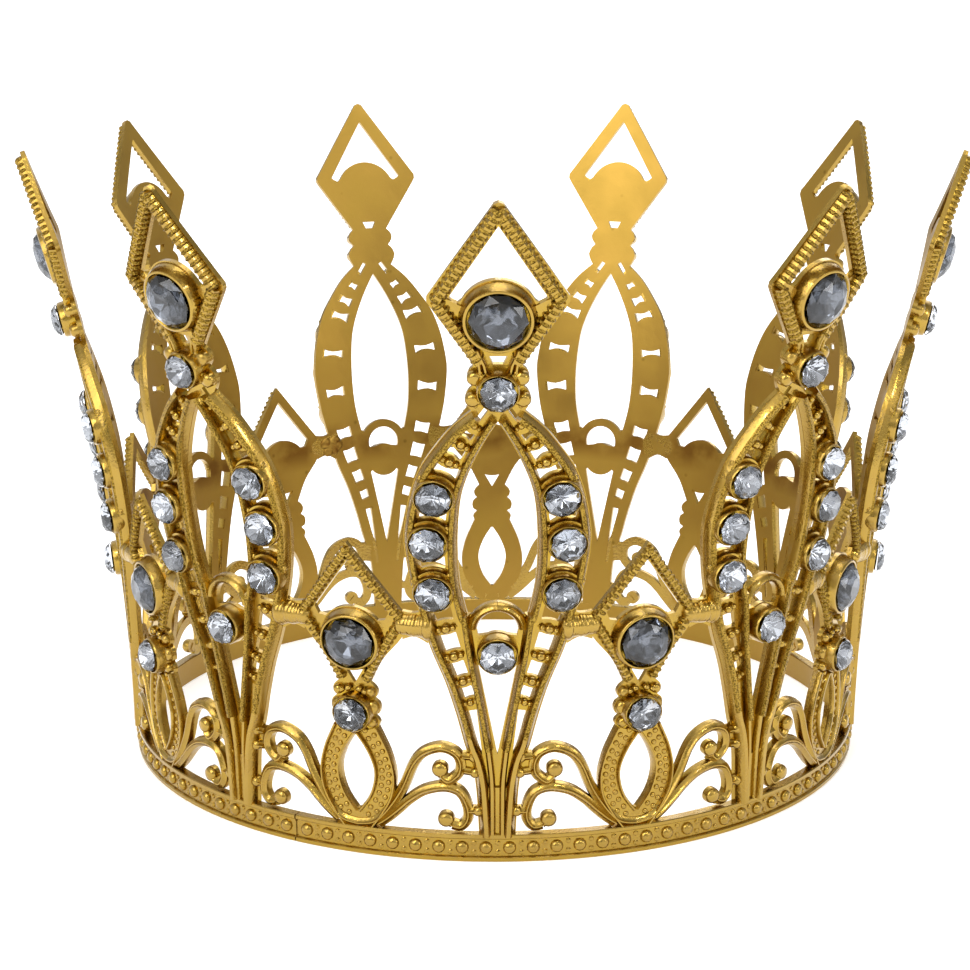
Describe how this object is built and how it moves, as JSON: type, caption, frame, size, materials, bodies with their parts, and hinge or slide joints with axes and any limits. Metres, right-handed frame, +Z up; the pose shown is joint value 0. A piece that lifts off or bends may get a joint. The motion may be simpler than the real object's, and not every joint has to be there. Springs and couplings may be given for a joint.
{
  "type": "crown",
  "caption": "Full-round open-work dress crown: tall and short jewelled points with scrollwork between them, standing on a beaded rim.",
  "frame": {"origin": "centre of the rim's underside, on the crown's axis", "axes": "+Z up along the crown's axis; -Y towards the first tall point"},
  "size_m": [0.1754, 0.1726, 0.1164],
  "materials": {
    "gold_plate": "bright gold plating on cast zinc alloy",
    "solder": "gold-plated solder, dull",
    "crest_glass": "faceted smoke-grey glass, foiled behind",
    "clear_glass": "faceted clear glass, foiled behind"
  },
  "bodies": {
    "root": {"tall_panel_1": "gold_plate", "short_panel_1": "gold_plate", "scrollwork_1": "gold_plate", "tall_crest_stone_1": "crest_glass", "short_crest_stone_1": "crest_glass", "tall_round_stones_1": "clear_glass", "tall_panel_2": "gold_plate", "short_panel_2": "gold_plate", "scrollwork_2": "gold_plate", "tall_crest_stone_2": "crest_glass", "short_crest_stone_2": "crest_glass", "tall_round_stones_2": "clear_glass", "tall_panel_3": "gold_plate", "short_panel_3": "gold_plate", "scrollwork_3": "gold_plate", "tall_crest_stone_3": "crest_glass", "short_crest_stone_3": "crest_glass", "tall_round_stones_3": "clear_glass", "tall_panel_4": "gold_plate", "short_panel_4": "gold_plate", "scrollwork_4": "gold_plate", "tall_crest_stone_4": "crest_glass", "short_crest_stone_4": "crest_glass", "tall_round_stones_4": "clear_glass", "tall_panel_5": "gold_plate", "short_panel_5": "gold_plate", "scrollwork_5": "gold_plate", "tall_crest_stone_5": "crest_glass", "short_crest_stone_5": "crest_glass", "tall_round_stones_5": "clear_glass", "tall_panel_6": "gold_plate", "short_panel_6": "gold_plate", "scrollwork_6": "gold_plate", "tall_crest_stone_6": "crest_glass", "short_crest_stone_6": "crest_glass", "tall_round_stones_6": "clear_glass", "tall_panel_7": "gold_plate", "short_panel_7": "gold_plate", "scrollwork_7": "gold_plate", "tall_crest_stone_7": "crest_glass", "short_crest_stone_7": "crest_glass", "tall_round_stones_7": "clear_glass", "tall_panel_8": "gold_plate", "short_panel_8": "gold_plate", "scrollwork_8": "gold_plate", "tall_crest_stone_8": "crest_glass", "short_crest_stone_8": "crest_glass", "tall_round_stones_8": "clear_glass", "tall_panel_9": "gold_plate", "short_panel_9": "gold_plate", "scrollwork_9": "gold_plate", "tall_crest_stone_9": "crest_glass", "short_crest_stone_9": "crest_glass", "tall_round_stones_9": "clear_glass", "bridges": "gold_plate", "short_round_stones": "clear_glass", "rim_section_1": "gold_plate", "rim_section_2": "gold_plate", "rim_section_3": "gold_plate", "solder_seams": "solder"}
  },
  "joints": []
}
